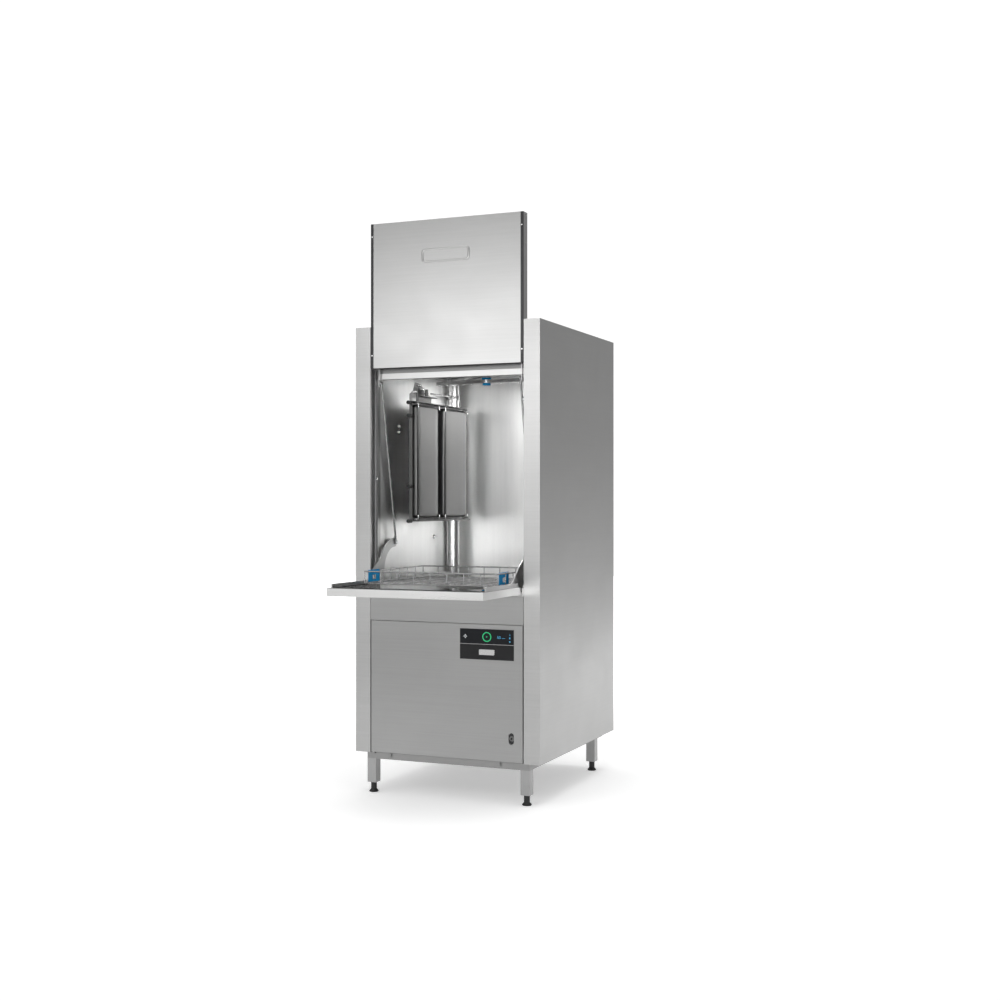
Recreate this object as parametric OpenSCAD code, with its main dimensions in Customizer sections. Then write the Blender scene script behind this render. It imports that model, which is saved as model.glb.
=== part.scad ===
// Front-loading commercial dishwasher with a split door: the upper half slides up in front of
// the cabinet, the lower half folds down into a loading shelf, and the rack rolls out over it.
// x = 0 is the middle of the width, z = 0 the floor, and +y runs to the back. Each sub-part is
// drawn with y = 0 on the front plane of the cabinet, and from_front() puts it in the part's frame.

/* [Cabinet] */
// Width over the side panels
cab_w = 785; // [781:1:800]
// Depth of the cabinet without the open flap
cab_d = 880; // [876:1:900]
// Height of the cabinet above the floor
cab_top = 1842; // [1840:1:1850]
// Height of the lower edge of the side panels
skin_bottom = 161; // [158:1:163]
// Width of each front column
column_w = 65.5; // [65:0.5:66]
// Thickness of the outer sheet metal
skin_t = 2; // [1.5:0.5:2]
// Height of the underside of the chassis frame
frame_bottom = 135; // [132:1:138]
// Width and depth of a leg
leg_w = 38; // [34:1:38]
// Distance of a leg's middle from the middle of the width
leg_x = 327.5; // [322:0.5:330]
// Height of the lower end of a leg
leg_bottom = 40; // [35:1:45]

/* [Wash chamber] */
// Half of the chamber's inside width
chamber_half = 318; // [317:0.5:318]
// Distance of the chamber's rear wall from the front plane
chamber_back = 780; // [775:1:785]
// Height of the chamber ceiling
ceiling_z = 1715; // [1705:1:1725]
// Height of the top edge of the tank
tank_top = 790; // [788:1:790]
// Height of the tank floor
tank_floor = 620; // [615:1:622]
// Radius of the wash arms
arm_r = 245; // [235:1:250]

/* [Upper door] */
// Height of the lower edge of the raised upper door
door_bottom = 1679; // [1679:1:1682]
// Height of the top edge of the raised upper door
door_top = 2249; // [2240:1:2255]
// Half of the width of the door's front skin
door_half = 314; // [313:0.5:314]
// Thickness of the upper door
door_t = 41; // [39:0.5:41]

/* [Lower flap] */
// How far the open flap reaches in front of the cabinet
flap_reach = 360; // [355:1:360]
// Half of the flap's width
flap_half = 317; // [316:0.5:317]
// Height of the underside of the open flap
flap_low = 801; // [801:0.5:802]
// Height of the rim of the open flap
flap_high = 831; // [830:0.5:831]
// Height of the flap's hinge axis
hinge_z = 810; // [809.5:0.5:810]
// Distance of the flap's hinge axis behind the front plane
hinge_y = 9; // [9:0.5:9.5]

/* [Rack] */
// Half of the rack's width
rack_half = 279; // [270:1:279]
// Front of the rack, seen from the front plane of the cabinet
rack_front = -135; // [-135:1:-125]
// Depth of the rack
rack_d = 510; // [480:5:510]
// Height of the rack's floor wires
rack_z = 838; // [838:0.5:840]
// Height of the rack's top rail above its floor
rack_h = 45; // [40:1:50]

/* [Controls] */
// Half of the width of the service panel, at its right edge
panel_right = 322.5; // [320:0.5:323]
// Height of the top edge of the service panel
panel_top = 683; // [680:1:684]
// Width of the display
display_w = 224; // [215:1:226]
// Height of the display
display_h = 117; // [112:1:118]

/* [Hidden] */
$fn = 48;
front_y = -(cab_d - flap_reach) / 2;
half_w = cab_w / 2;
mouth_half = half_w - column_w;
frame_half = leg_x + leg_w / 2;
frame_front = 12;
frame_h = 26;
frame_top = frame_bottom + frame_h;
rear_leg_y = 780;
inner_top = cab_top - skin_t;
rear_inset = 16;
rear_y = cab_d - rear_inset;
jamb_y = 44;
jamb_back = 67;
lintel_z = 1638;
lintel_y = 46;
header_y = 52;
rail_low = 835;
rail_web_x = 347;
rail_front = 12;
wall_t = 2;
tank_front = 4;
tank_step = 700;
riser = [-289, 700];
hub = [0, 400];
pipe_r = 25;
upper_feed_z = 1685;
lower_feed_z = 700;
upper_arm_z = 1640;
lower_arm_z = 791;
arm_h = 14;
lever_x = 303;
lever_t = 4;
lever_c = [165, 878];
lever_pivot = [165, 988];
link_x = 298.5;
link_r = 4;
link_top = [38, 1622];
pivot_pin_r = 4;
hinge_pin_r = 6;
run_gap = 0.08;
service_hinge = [-316.5, 7];
service_pin_r = 3;
display_x = 175;
display_z = 607;
start_x = 176;
start_z = 636;
start_r = 19;
power_x = 86;
power_r = 8;
lock_x = 276;
lock_z = 253;
lock_r = 9;
rack_back = rack_front + rack_d;
insert_x = -240;
foot_r = 18.5;
sheet = 1.5;

// ---- helpers -------------------------------------------------------------------------------

module from_front() {
    translate([0, front_y, 0]) children();
}

// A block given by its lowest and highest corners
module block(lo, hi) {
    translate(lo) cube(hi - lo);
}

// The same shape on the right and, mirrored, on the left
module both_sides() {
    children();
    mirror([1, 0, 0]) children();
}

// An outline in the y-z plane, extruded along x from x0 to x1
module side_plate(x0, x1) {
    translate([x0, 0, 0]) rotate([90, 0, 90]) linear_extrude(x1 - x0) children();
}

// An outline in the x-z plane, extruded along y from y0 to y1
module front_plate(y0, y1) {
    translate([0, y1, 0]) rotate([90, 0, 0]) linear_extrude(y1 - y0) children();
}

module rod_x(y, z, x0, x1, r) {
    translate([x0, y, z]) rotate([0, 90, 0]) cylinder(h = x1 - x0, r = r);
}

module rod_y(x, z, y0, y1, r) {
    translate([x, y0, z]) rotate([-90, 0, 0]) cylinder(h = y1 - y0, r = r);
}

module rod_z(x, y, z0, z1, r) {
    translate([x, y, z0]) cylinder(h = z1 - z0, r = r);
}

// A round bar between two points of the y-z plane at one x
module rod_yz(x, a, b, r) {
    lean = atan2(b[0] - a[0], b[1] - a[1]);
    translate([x, a[0], a[1]]) rotate([-lean, 0, 0]) cylinder(h = norm(b - a), r = r);
}

// A round bar between two points of the x-y plane at one z
module rod_xy(z, a, b, r) {
    bearing = atan2(b[1] - a[1], b[0] - a[0]);
    translate([a[0], a[1], z]) rotate([0, 90, bearing]) cylinder(h = norm(b - a), r = r);
}

module round_rect(w, h, r) {
    square([w - 2 * r, h], center = true);
    square([w, h - 2 * r], center = true);
    for (sx = [-1, 1], sy = [-1, 1])
        translate([sx * (w / 2 - r), sy * (h / 2 - r)]) circle(r);
}

// ---- structure -----------------------------------------------------------------------------

// Welded frame of box tube, closed by a tray that the pumps and the boiler stand on
module chassis_frame() {
    tube_t = 3;
    tray_t = 2;
    mid_y = 440;
    inner_half = frame_half - leg_w;
    back = rear_y - skin_t;
    color("silver") from_front() {
        difference() {
            block([-frame_half, frame_front, frame_bottom], [frame_half, back, frame_top]);
            block([-inner_half, frame_front + leg_w, frame_bottom - 1],
                  [inner_half, mid_y - leg_w / 2, frame_top - tray_t]);
            block([-inner_half, mid_y + leg_w / 2, frame_bottom - 1],
                  [inner_half, back - leg_w, frame_top - tray_t]);
            both_sides() block([inner_half + tube_t, frame_front + tube_t, frame_bottom + tube_t],
                               [frame_half - tube_t, back - tube_t, frame_top - tube_t]);
            for (y = [frame_front, mid_y - leg_w / 2, back - leg_w])
                block([-inner_half - 4, y + tube_t, frame_bottom + tube_t],
                      [inner_half + 4, y + leg_w - tube_t, frame_top - tube_t]);
        }
        block([service_hinge[0] - 4, 3, frame_top - 3], [service_hinge[0] + 8, frame_front, frame_top]);
    }
}

module leg_places() {
    for (x = [-leg_x, leg_x], y = [frame_front + leg_w / 2, rear_leg_y])
        translate([x, y, 0]) children();
}

module legs() {
    bore_r = 12;
    color("silver") from_front() leg_places() difference() {
        translate([-leg_w / 2, -leg_w / 2, leg_bottom])
            cube([leg_w, leg_w, frame_bottom - leg_bottom]);
        translate([0, 0, leg_bottom - 1]) cylinder(h = frame_bottom - leg_bottom - 4, r = bore_r);
    }
}

module levelling_feet() {
    spindle_r = 11.7;
    thread_top = leg_bottom + 45;
    color([0.08, 0.08, 0.09]) from_front() leg_places() rotate_extrude()
        polygon([
            [0, 0], [foot_r - 2, 0], [foot_r, 2], [foot_r, 5], [foot_r - 2.5, 7.5],
            [spindle_r + 2, 10], [spindle_r, 13], [spindle_r, leg_bottom],
            [spindle_r, thread_top], [0, thread_top]
        ]);
}

// Side sheet folded round the column at the front and round the corner at the back
module side_panel() {
    rear_fold = 22;
    block([half_w - skin_t, 0, skin_bottom], [half_w, cab_d, cab_top]);
    block([mouth_half, 0, skin_bottom], [half_w, skin_t, cab_top]);
    block([mouth_half, 0, skin_bottom], [mouth_half + skin_t, 18, rail_low - 2]);
    block([mouth_half, 0, rail_low - 3], [mouth_half + skin_t, rail_front, inner_top]);
    block([half_w - rear_fold, cab_d - skin_t, skin_bottom], [half_w, cab_d, cab_top]);
}

module right_side_panel() {
    color("lightgray") from_front() side_panel();
}

module left_side_panel() {
    color("lightgray") from_front() mirror([1, 0, 0]) side_panel();
}

module rear_panel() {
    drain_hole = 21;
    inlet_hole = 14;
    gland_hole = 13;
    color("lightgray") from_front() difference() {
        block([-half_w + skin_t, rear_y - skin_t, skin_bottom],
              [half_w - skin_t, rear_y, inner_top]);
        rod_y(drain_x, drain_z, rear_y - 10, rear_y + 10, drain_hole);
        rod_y(inlet_x, inlet_z, rear_y - 10, rear_y + 10, inlet_hole);
        rod_y(gland_x, gland_z, rear_y - 10, rear_y + 10, gland_hole);
    }
}

// Roof sheet with the slot that the upper door slides through
module roof_panel() {
    slot_back = lintel_y;
    color("lightgray") from_front() difference() {
        block([-half_w + skin_t, skin_t, inner_top], [half_w - skin_t, cab_d - skin_t, cab_top]);
        block([-mouth_half, 0, inner_top - 1], [mouth_half, slot_back, cab_top + 1]);
    }
}

// Fixed panel behind the raised door, folded into the lintel over the chamber's mouth
module header_panel() {
    lintel_h = 22;
    lintel_back = 78;
    color("silver") from_front() difference() {
        union() {
            block([-mouth_half, header_y, lintel_z], [mouth_half, header_y + sheet, inner_top]);
            block([-chamber_half, lintel_y, lintel_z],
                  [chamber_half, lintel_back, lintel_z + lintel_h]);
        }
        block([-chamber_half - 1, lintel_y + sheet, lintel_z + sheet],
              [chamber_half + 1, lintel_back - sheet, lintel_z + lintel_h - sheet]);
    }
}

// Fixed front sheet between the flap's hinge and the service panel
module apron_panel() {
    low = 685;
    high = 795;
    color("lightgray") from_front() {
        block([-mouth_half + 1.5, 0, low], [mouth_half - 1.5, skin_t, high]);
        block([-mouth_half + 1.5, skin_t, low], [mouth_half - 1.5, 12, low + skin_t]);
    }
}

// ---- wash chamber --------------------------------------------------------------------------

module chamber_side_walls() {
    color("gainsboro") from_front() both_sides()
        block([chamber_half, jamb_back, tank_top],
              [chamber_half + wall_t, chamber_back + wall_t, ceiling_z]);
}

module chamber_rear_wall() {
    color("gainsboro") from_front()
        block([-chamber_half, chamber_back, tank_top],
              [chamber_half, chamber_back + wall_t, ceiling_z]);
}

module chamber_ceiling() {
    color("gainsboro") from_front()
        block([-chamber_half - wall_t, header_y + sheet, ceiling_z],
              [chamber_half + wall_t, chamber_back + wall_t, ceiling_z + wall_t]);
}

// Bright upright strips between the guide rails and the chamber walls
module chamber_jambs() {
    color("white") from_front() both_sides() {
        block([chamber_half, jamb_y, rail_low], [mouth_half, jamb_y + sheet, lintel_z]);
        block([chamber_half, jamb_y, rail_low], [chamber_half + sheet, jamb_back, lintel_z]);
    }
}

// Channels in the columns that the door's glide blocks run in
module door_guide_rails() {
    web = 2;
    color("dimgray") from_front() both_sides() difference() {
        block([mouth_half, rail_front, rail_low], [rail_web_x, jamb_y, inner_top]);
        block([mouth_half - 1, rail_front + web, rail_low - 1],
              [rail_web_x - web, jamb_y - web, inner_top + 1]);
    }
}

// Plates beside the flap that carry its hinge pins
module hinge_brackets() {
    plate_x = 320;
    plate_t = 7;
    color("gray") from_front() both_sides() side_plate(plate_x, plate_x + plate_t)
        difference() {
            polygon([
                [-1, 797], [12, 797], [jamb_y, 784], [jamb_y, rail_low - 3], [-1, 826]
            ]);
            translate([hinge_y, hinge_z]) circle(hinge_pin_r + run_gap);
        }
}

// Outline of the tank: its front steps back below the loading mouth
function tank_outline(inset) = [
    [tank_front + inset, tank_top + inset], [tank_front + inset, tank_step + inset / 2],
    [60 + inset / 2, tank_floor + inset], [chamber_back + wall_t - inset, tank_floor + inset],
    [chamber_back + wall_t - inset, tank_top + inset]
];

sump = [90, 430];
sump_r = 95;
sump_floor = 520;

module wash_tank() {
    heater_hole = 9;
    color("gainsboro") from_front() difference() {
        union() {
            side_plate(-chamber_half, chamber_half) polygon(tank_outline(0));
            rod_z(sump[0], sump[1], sump_floor, tank_floor + 1, sump_r);
        }
        side_plate(-chamber_half + wall_t, chamber_half - wall_t) polygon(tank_outline(wall_t));
        rod_z(sump[0], sump[1], sump_floor + wall_t, tank_floor + wall_t + 1, sump_r - wall_t);
        rod_z(riser[0], riser[1], tank_floor - 5, tank_floor + 10, pipe_r + 0.5);
        rod_z(sump[0], sump[1], sump_floor - 5, sump_floor + 5, pipe_r + 0.5);
        for (x = heater_x) rod_z(x, heater_y, tank_floor - 5, tank_floor + 10, heater_hole);
    }
}

// Two strainer trays over the tank, cut out round the manifold's upright pipes and the filter
module tank_strainers() {
    z = 745;
    t = 2;
    lip = 12;
    tray_half = 284;
    tray_front = 70;
    tray_back = 760;
    gap = 3;
    hub_gap = 32;
    filter_gap = 48;
    notch_front = sump[1] - filter_gap;
    notch_back = sump[1] + filter_gap;
    color("lightsteelblue") from_front() {
        block([gap, tray_front, z], [tray_half, hub[1] - hub_gap, z + t]);
        block([hub_gap, hub[1] - hub_gap, z], [sump[0] - filter_gap, notch_back, z + t]);
        block([sump[0] + filter_gap, hub[1] - hub_gap, z], [tray_half, notch_back, z + t]);
        block([gap, notch_back, z], [tray_half, tray_back, z + t]);
        block([tray_half - t, tray_front, z + t], [tray_half, tray_back, z + lip]);
        block([-tray_half, tray_front, z], [-gap, hub[1] - hub_gap, z + t]);
        block([-tray_half, hub[1] - hub_gap, z], [-hub_gap, hub[1] + hub_gap, z + t]);
        block([-tray_half, hub[1] + hub_gap, z], [-gap, riser[1] - hub_gap, z + t]);
        block([riser[0] + hub_gap + 8, riser[1] - hub_gap, z], [-gap, tray_back, z + t]);
        block([-tray_half, tray_front, z + t], [-tray_half + t, riser[1] - hub_gap, z + lip]);
    }
}

// Lift-out filter cylinder that stands in the sump
module sump_filter() {
    filter_r = 44;
    filter_top = 757;
    filter_bottom = sump_floor + wall_t;
    color("darkgray") from_front() translate([sump[0], sump[1], 0]) difference() {
        translate([0, 0, filter_bottom]) cylinder(h = filter_top - filter_bottom, r = filter_r);
        translate([0, 0, filter_bottom + 2])
            cylinder(h = filter_top - filter_bottom, r = filter_r - 2);
        translate([0, 0, filter_bottom - 1]) cylinder(h = 5, r = filter_r - 14);
    }
}

heater_x = [-200, -120];
heater_y = 250;
heater_z = 640;

// Rod heating element that lies over the tank floor, a little above it
module tank_heater() {
    r = 5.5;
    back = 640;
    color("dimgray") from_front() union() {
        for (x = heater_x) {
            rod_z(x, heater_y, tank_floor - 30, heater_z, r);
            translate([x, heater_y, heater_z]) sphere(r);
            rod_y(x, heater_z, heater_y, back, r);
            translate([x, back, heater_z]) sphere(r);
        }
        rod_x(back, heater_z, heater_x[0], heater_x[1], r);
        for (x = heater_x) rod_z(x, heater_y, tank_floor - 14, tank_floor, 14);
    }
}

// Angle rails that the rack runs on
module rack_rails() {
    rail_front_y = 62;
    rail_back_y = 665;
    top = rack_z - 3.5;
    color("silver") from_front() both_sides() {
        block([270, rail_front_y, top - 3], [292, rail_back_y, top]);
        block([289, rail_front_y, top], [292, rail_back_y, top + 14]);
        for (y = [300, 600]) block([292, y, top - 3], [chamber_half, y + 24, top + 14]);
    }
}

// ---- wash and rinse system -----------------------------------------------------------------

stem = 22;

// Riser pipe in the rear corner with a branch to each wash arm
module wash_manifold() {
    branch_r = 17;
    low = 420;
    stub = 80;
    color("lightgray") from_front() difference() {
        union() {
            rod_z(riser[0], riser[1], low, upper_feed_z, pipe_r);
            translate([riser[0], riser[1], upper_feed_z]) sphere(pipe_r);
            for (z = [lower_feed_z, upper_feed_z]) rod_xy(z, riser, hub, branch_r);
            rod_z(hub[0], hub[1], upper_feed_z - stem, upper_feed_z + branch_r, branch_r + 3);
            rod_z(hub[0], hub[1], lower_feed_z - branch_r, lower_feed_z + stub, branch_r + 3);
        }
        rod_z(riser[0], riser[1], low - 1, upper_feed_z - stem, pipe_r - 2);
    }
}

bearing_r = 14;
flange_r = 20;
flange_t = 8;
cap_h = 6;
cap_r = 17;
arm_play = 1;

// Flange, shaft and cap that a wash arm turns on, upwards from z
module arm_bearing(z, shaft) {
    translate([hub[0], hub[1], z]) {
        cylinder(h = flange_t, r = flange_r);
        cylinder(h = flange_t + shaft, r = bearing_r);
        translate([0, 0, flange_t + shaft]) cylinder(h = cap_h, r = cap_r);
    }
}

module lower_arm_bearing() {
    color([0.1, 0.35, 0.65]) from_front()
        arm_bearing(lower_feed_z + 80, lower_arm_z + arm_h + arm_play - lower_feed_z - 80 - flange_t);
}

module upper_arm_bearing() {
    low = upper_arm_z - arm_play - cap_h;
    color([0.1, 0.35, 0.65]) from_front() translate([0, 0, upper_feed_z - stem])
        mirror([0, 0, 1]) arm_bearing(0, upper_feed_z - stem - low - cap_h - flange_t);
}

// One rotating arm: two flat tapered tubes on a hub, with a row of raised nozzles
module wash_arm(side) {
    hub_r = 30;
    tip_w = 14;
    root_w = 26;
    nozzle_r = 5;
    nozzles = [70, 110, 150, 190, 228];
    rotate([0, 0, -6]) difference() {
        union() {
            cylinder(h = arm_h, r = hub_r);
            linear_extrude(arm_h) polygon([
                [-arm_r + 12, -tip_w], [0, -root_w], [arm_r - 12, -tip_w], [arm_r, 0],
                [arm_r - 12, tip_w], [0, root_w], [-arm_r + 12, tip_w], [-arm_r, 0]
            ]);
            for (d = nozzles, s = [-1, 1])
                translate([s * d, 0, side > 0 ? arm_h - 1 : -3]) cylinder(h = 4, r = nozzle_r);
        }
        translate([0, 0, -5]) cylinder(h = arm_h + 10, r = bearing_r + run_gap);
        for (d = nozzles, s = [-1, 1])
            translate([s * d, 0, side > 0 ? arm_h - 2 : -4]) cylinder(h = 6, r = 1.5);
    }
}

module lower_wash_arm() {
    color("silver") from_front() translate([hub[0], hub[1], lower_arm_z]) wash_arm(1);
}

module upper_wash_arm() {
    color("silver") from_front() translate([hub[0], hub[1], upper_arm_z]) wash_arm(-1);
}

pump = [sump[0], sump[1], 290];
pump_r = 85;

// Pump volute below the sump, with its discharge pipe to the riser
module wash_pump() {
    outlet_z = 380;
    outlet = [pump[0] - 38, pump[1] + 70];
    half_t = 45;
    color("slategray") from_front() difference() {
        union() {
            rod_x(pump[1], pump[2], pump[0] - half_t, pump[0] + half_t, pump_r);
            rod_z(pump[0], pump[1], pump[2], pump[2] + pump_r + 30, pipe_r + 6);
            rod_z(outlet[0], outlet[1], pump[2], outlet_z + 24, pipe_r - 2);
            rod_xy(outlet_z, outlet, riser, pipe_r - 5);
            rod_z(riser[0], riser[1], outlet_z - 30, outlet_z + 40, pipe_r + 6);
        }
        rod_z(pump[0], pump[1], pump[2] + 40, pump[2] + pump_r + 31, pipe_r);
    }
}

module wash_pump_motor() {
    motor_r = 70;
    motor_l = 190;
    start = pump[0] + 45;
    color("darkslategray") from_front() {
        rod_x(pump[1], pump[2], start, start + motor_l, motor_r);
        for (i = [0 : 8])
            rod_x(pump[1], pump[2], start + 30 + i * 16, start + 36 + i * 16, motor_r + 7);
        block([start + 50, pump[1] - 45, pump[2] + 60], [start + 140, pump[1] + 45, pump[2] + 100]);
        block([start + 30, pump[1] - 60, frame_top], [start + 160, pump[1] + 60, pump[2] - 55]);
    }
}

module suction_hose() {
    top = sump_floor;
    low = pump[2] + pump_r + 30;
    color([0.12, 0.12, 0.13]) from_front() translate([sump[0], sump[1], 0]) difference() {
        union() {
            translate([0, 0, low]) cylinder(h = top - low, r = pipe_r + 4);
            for (z = [low + 6, top - 18]) translate([0, 0, z]) cylinder(h = 12, r = pipe_r + 6);
        }
        translate([0, 0, low - 1]) cylinder(h = top - low + 2, r = pipe_r);
    }
}

boiler = [200, 690];

function boiler_outline(low, high, r) = [
    [0, low], [r - 25, low], [r, low + 18], [r, high - 18], [r - 25, high], [0, high]
];

module rinse_boiler() {
    boiler_r = 95;
    low = 205;
    high = 575;
    color("lightslategray") from_front() translate([boiler[0], boiler[1], 0]) union() {
        difference() {
            rotate_extrude() polygon(boiler_outline(low, high, boiler_r));
            rotate_extrude() polygon(boiler_outline(low + 3, high - 3, boiler_r - 3));
        }
        for (a = [45, 135, 225, 315]) rotate([0, 0, a]) translate([boiler_r - 20, 0, frame_top])
            cylinder(h = 45, r = 9);
        translate([-40, 0, high - 2]) cylinder(h = 24, r = 11);
        translate([40, 0, high - 2]) cylinder(h = 24, r = 11);
    }
}

module rinse_pump() {
    y = 560;
    z = 225;
    color("slategray") from_front() union() {
        rod_x(y, z, -20, 20, 42);
        rod_x(y, z, -130, -20, 34);
        block([-110, y - 30, frame_top], [-30, y + 30, z - 20]);
        rod_z(0, y, z, z + 62, 10);
    }
}

module drain_pump() {
    y = 700;
    z = drain_z;
    color("slategray") from_front() union() {
        rod_y(drain_x, z, y - 90, y - 20, 36);
        rod_y(drain_x, z, y - 20, y + 20, 46);
        block([drain_x - 30, y - 80, frame_top], [drain_x + 30, y - 20, z - 20]);
    }
}

drain_x = -150;
drain_z = 235;
drain_r = 20;
inlet_x = 60;
inlet_z = 235;
inlet_r = 13.2;
gland_x = 290;
gland_z = 300;
gland_bore_r = 8;

module drain_outlet() {
    color([0.15, 0.15, 0.16]) from_front() difference() {
        union() {
            rod_y(drain_x, drain_z, 720, rear_y, drain_r - 0.5);
            rod_y(drain_x, drain_z, 735, 760, drain_r + 5);
            rod_y(drain_x, drain_z, rear_y, cab_d, drain_r);
        }
        rod_y(drain_x, drain_z, 740, cab_d + 1, drain_r - 3);
    }
}

module water_inlet() {
    color("goldenrod") from_front() difference() {
        union() {
            rod_y(inlet_x, inlet_z, rear_y - 40, rear_y, inlet_r - 0.4);
            rod_y(inlet_x, inlet_z, rear_y, cab_d, inlet_r);
            translate([inlet_x, rear_y - 12, inlet_z]) rotate([-90, 30, 0])
                cylinder(h = 9, r = 19, $fn = 6);
            rod_y(inlet_x, inlet_z, rear_y - 90, rear_y - 40, inlet_r + 8);
        }
        rod_y(inlet_x, inlet_z, rear_y - 80, cab_d + 1, inlet_r - 3.5);
    }
}

module cable_gland() {
    color([0.1, 0.1, 0.1]) from_front() difference() {
        union() {
            rod_y(gland_x, gland_z, rear_y - 14, cab_d - 4, 12.5);
            translate([gland_x, rear_y, gland_z]) rotate([-90, 30, 0])
                cylinder(h = 7, r = 17, $fn = 6);
            translate([gland_x, rear_y - 8, gland_z]) rotate([-90, 30, 0])
                cylinder(h = 6, r = 17, $fn = 6);
            rod_y(gland_x, gland_z, cab_d - 10, cab_d, 14);
        }
        rod_y(gland_x, gland_z, rear_y - 15, cab_d + 1, gland_bore_r);
    }
}

// Electrical box behind the service panel
module control_box() {
    t = 2;
    color("gainsboro") from_front() union() {
        difference() {
            block([-290, 60, 200], [-60, 160, 560]);
            block([-290 + t, 60 - 1, 200 + t], [-60 - t, 160 - t, 560 - t]);
        }
        block([-296, 56, 196], [-54, 60, 564]);
        for (x = [-260, -100]) rod_z(x, 110, frame_top, 200 + 1, 8);
    }
}

// ---- insert in the chamber -----------------------------------------------------------------

insert_low = 1072;
insert_high = 1558;
insert_front = 168;
insert_back = 676;

// Back plate of the insert with its folded edges, and the studs that hold it on the side wall
module insert_frame() {
    t = 2;
    lip = 34;
    front_lip = 14;
    latch = [230, 370];
    color("silver") from_front() union() {
        block([insert_x, insert_front, insert_low], [insert_x + t, insert_back, insert_high]);
        block([insert_x, insert_front, insert_low],
              [insert_x + front_lip, insert_front + t, insert_high]);
        block([insert_x, insert_front, insert_low], [insert_x + lip + 8, insert_back, insert_low + 5]);
        for (y = [400, 610], z = [1150, 1500]) rod_x(y, z, -chamber_half, insert_x, 7);
        block([insert_x, latch[0], insert_high], [insert_x + t, latch[1], insert_high + 26]);
        block([insert_x, latch[0], insert_high + 24], [insert_x + 30, latch[1], insert_high + 26]);
        block([insert_x, 245, insert_high + 26], [insert_x + t, 300, insert_high + 60]);
        rod_z(insert_x + 18, 290, insert_high + 26, insert_high + 56, 7);
        rod_z(insert_x + 20, 205, insert_high, insert_high + 38, 6);
        block([insert_x, insert_front, insert_high - 2], [insert_x + lip, insert_back, insert_high]);
    }
}

// Two shallow trays with rounded corners, standing on edge side by side
module insert_trays() {
    plate_t = 2;
    depth = 30;
    tray_z = (insert_low + insert_high) / 2 + 1;
    tray_h = 468;
    corner = 14;
    color("lightgray") from_front() for (place = [[278, 206], [550, 236]])
        difference() {
            side_plate(insert_x + plate_t, insert_x + plate_t + depth)
                translate([place[0], tray_z]) round_rect(place[1], tray_h, corner);
            side_plate(insert_x + plate_t - 1, insert_x + plate_t + depth - 1.5)
                translate([place[0], tray_z]) round_rect(place[1] - 4, tray_h - 4, corner - 2);
        }
}

// Black rubber caps on the insert's front corners
module insert_caps() {
    rubber_r = 8;
    color([0.05, 0.05, 0.05]) from_front() {
        for (z = [insert_low + 2, 1215, 1500, 1552])
            rod_y(insert_x + 8, z, insert_front - 26, insert_front, rubber_r);
    }
}

// ---- upper door ----------------------------------------------------------------------------

module upper_door_outer_skin() {
    badge_z = 2109;
    badge_w = 200;
    badge_h = 54;
    emboss = 1.2;
    color("lightgray") from_front() union() {
        difference() {
            block([-door_half, emboss, door_bottom], [door_half, door_t - sheet, door_top]);
            block([-door_half + sheet, emboss + sheet, door_bottom + sheet],
                  [door_half - sheet, door_t, door_top - sheet]);
        }
        front_plate(0, emboss + 0.1) translate([0, badge_z]) round_rect(badge_w, badge_h, 10);
    }
}

module upper_door_inner_skin() {
    color("silver") from_front()
        block([-door_half, door_t - sheet, door_bottom], [door_half, door_t, door_top]);
}

edge_half = 325.3;
edge_front_t = 4;

// Black strips that close the gap between the door's skin and the columns
module door_edge_strips() {
    color([0.07, 0.07, 0.08]) from_front() both_sides()
        block([door_half, 0.5, door_bottom], [edge_half, edge_front_t, door_top]);
}

module door_side_rails() {
    bolt_r = 4;
    color("silver") from_front() both_sides() union() {
        difference() {
            block([door_half, edge_front_t, door_bottom], [edge_half, door_t, door_top]);
            block([door_half + sheet, edge_front_t + sheet, door_bottom - 1],
                  [edge_half - sheet, door_t - sheet, door_top + 1]);
        }
        for (z = [door_top - 8, door_top - 115]) rod_x(30, z, edge_half, edge_half + 1.5, bolt_r);
        block([304, 32.5, link_top[1] - 10], [307, 40.5, door_bottom]);
    }
}

glide_front = 18;
glide_back = 38;

// Plastic blocks that slide in the guide rails
module door_glide_blocks() {
    glide_l = 60;
    color("ivory") from_front() both_sides() for (z = [door_bottom + 12, door_bottom + 96])
        block([edge_half, glide_front, z], [rail_web_x - 4, glide_back, z + glide_l]);
}

module door_bottom_seal() {
    color([0.06, 0.06, 0.06]) from_front()
        block([-door_half + 4, 6, door_bottom - 1.5], [door_half - 4, 30, door_bottom]);
}

// ---- lower flap ----------------------------------------------------------------------------

dish_half = 290;
rim_front = -330;
flap_rear = -3;
drip_half = 300;
drip_back = 16;

// Outer pan of the flap: underside, folded edges and the drip edge that reaches over the tank
module flap_outer_shell() {
    color("whitesmoke") from_front() {
        difference() {
            block([-flap_half, -flap_reach, flap_low], [flap_half, flap_rear, flap_high - sheet]);
            block([-flap_half + sheet, -flap_reach + sheet, flap_low + sheet],
                  [flap_half - sheet, flap_rear + 1, flap_high + 1]);
        }
        block([-drip_half, flap_rear - 1, flap_low], [drip_half, drip_back, flap_low + sheet]);
    }
}

// Inner sheet of the flap: a flat rim on three sides round a dish that drains into the tank
module flap_inner_dish() {
    floor_z = flap_low + sheet;
    color("silver") from_front() difference() {
        union() {
            block([-flap_half, -flap_reach, flap_high - sheet], [flap_half, flap_rear, flap_high]);
            block([-dish_half - sheet, rim_front - sheet, floor_z],
                  [dish_half + sheet, flap_rear, flap_high]);
        }
        block([-dish_half, rim_front, floor_z + sheet], [dish_half, flap_rear + 1, flap_high + 1]);
    }
}

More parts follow.
